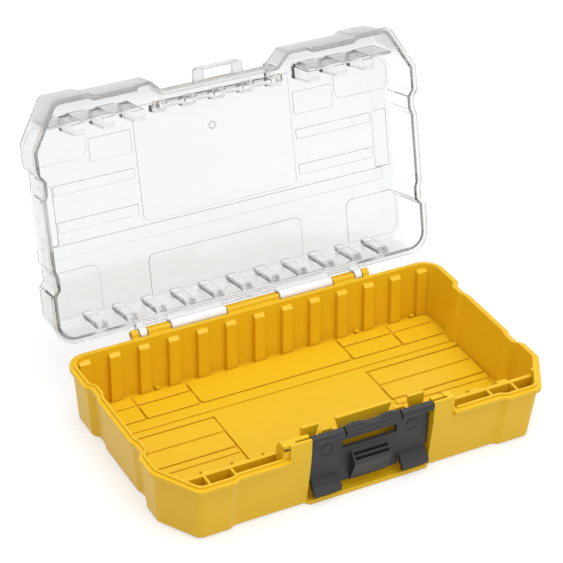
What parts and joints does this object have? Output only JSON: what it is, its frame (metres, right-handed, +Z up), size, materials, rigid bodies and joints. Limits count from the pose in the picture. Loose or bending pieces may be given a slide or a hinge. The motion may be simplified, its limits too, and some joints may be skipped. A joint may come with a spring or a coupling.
{
  "type": "bit case",
  "caption": "Open plastic bit case: yellow ribbed tray, clear hinged lid and a dark flip latch that hangs in a bay at the front",
  "frame": {"origin": "middle of the underside", "axes": "+X along the front to the right, +Y to the back, +Z up"},
  "size_m": [0.23, 0.1956, 0.1661],
  "materials": {
    "yellow_plastic": "fine satin moulding, a little shine",
    "clear_plastic": "clear moulding, glossy outside",
    "dark_plastic": "fine grained dark grey moulding",
    "pin_steel": "drawn wire"
  },
  "bodies": {
    "base": {"base_tray": "yellow_plastic", "latch_pin": "pin_steel", "hinge_pin_left": "pin_steel", "hinge_pin_right": "pin_steel"},
    "lid": {"clear_lid": "clear_plastic"},
    "latch_body": {"latch": "dark_plastic"}
  },
  "joints": [
    {"name": "lid_hinge", "type": "hinge", "parent": "base", "child": "lid", "pos_m": [0, 0.07, 0.0343], "axis": [1, 0, 0], "range_deg": [0, 105]},
    {"name": "latch_pivot", "type": "hinge", "parent": "base", "child": "latch_body", "pos_m": [0, -0.0606, 0.04], "axis": [-1, 0, 0], "range_deg": [0, 180]}
  ]
}
